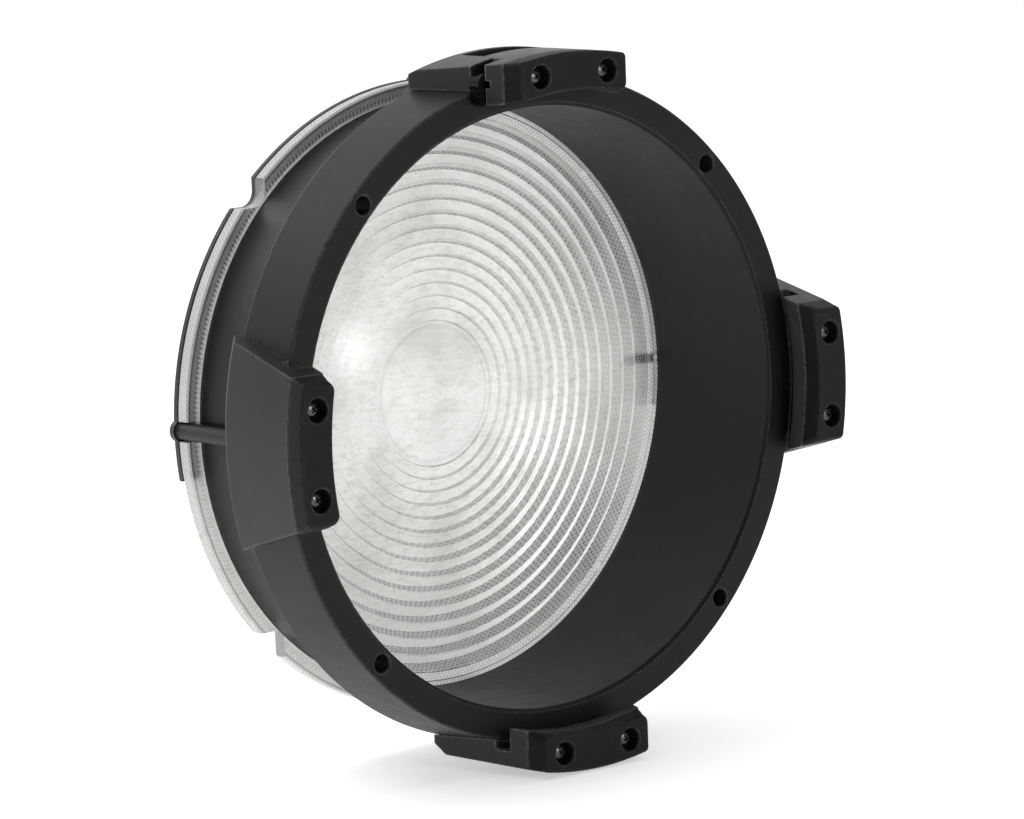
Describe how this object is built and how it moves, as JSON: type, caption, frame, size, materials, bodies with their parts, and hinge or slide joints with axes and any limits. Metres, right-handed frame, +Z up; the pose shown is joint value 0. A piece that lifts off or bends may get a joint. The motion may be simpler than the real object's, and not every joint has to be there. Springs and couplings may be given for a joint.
{
  "type": "fresnel lens adapter",
  "caption": "Round black fresnel lens adapter: a barrel with a clear ringed lens at the rear and clips with soft bumpers that hold accessories in front.",
  "frame": {"origin": "on the optical axis, in the plane where the four mounting bosses and the rear faces of the clips seat against the spotlight", "axes": "+Y along the optical axis from the front towards the spotlight, so the front looks along -Y; +Z up, towards the clip that holds the latch; +X to the right seen from the front"},
  "size_m": [0.2064, 0.0735, 0.2064],
  "materials": {
    "barrel_black": "fine moulded texture, satin black",
    "clip_black": "smooth satin black moulding",
    "bumper_rubber": "soft black, fine pebble grain",
    "lens_clear": "clear moulding, stippled back",
    "gasket_black": "matt",
    "retainer_black": "satin black",
    "screw_black": "black plated steel",
    "screw_steel": "zinc plated steel",
    "latch_black": "gloss black moulding",
    "spring_steel": "bright spring steel"
  },
  "bodies": {
    "adapter": {"barrel": "barrel_black", "fresnel_lens": "lens_clear", "lens_gasket": "gasket_black", "lens_retaining_ring": "retainer_black", "retaining_ring_screws": "screw_black", "lower_lens_tab": "retainer_black", "lower_tab_screw": "screw_black", "top_clip": "clip_black", "right_clip": "clip_black", "bottom_clip": "clip_black", "left_clip": "clip_black", "top_clip_screws": "screw_steel", "right_clip_screws": "screw_steel", "bottom_clip_screws": "screw_steel", "left_clip_screws": "screw_steel", "top_bumper": "bumper_rubber", "right_bumper": "bumper_rubber", "bottom_bumper": "bumper_rubber", "left_bumper": "bumper_rubber", "top_bumper_screws": "screw_black", "right_bumper_screws": "screw_black", "bottom_bumper_screws": "screw_black", "left_bumper_screws": "screw_black", "latch_pin": "spring_steel", "latch_spring": "spring_steel"},
    "latch": {"accessory_latch": "latch_black"}
  },
  "joints": [
    {"name": "latch_swing", "type": "hinge", "parent": "adapter", "child": "latch", "pos_m": [-0.0135, -0.0231, 0.0997], "axis": [0, 1, 0], "range_deg": [0, 40], "stiffness_Nm_per_rad": 0.006, "springref_deg": -28.65, "deforming": ["latch_spring"]}
  ]
}
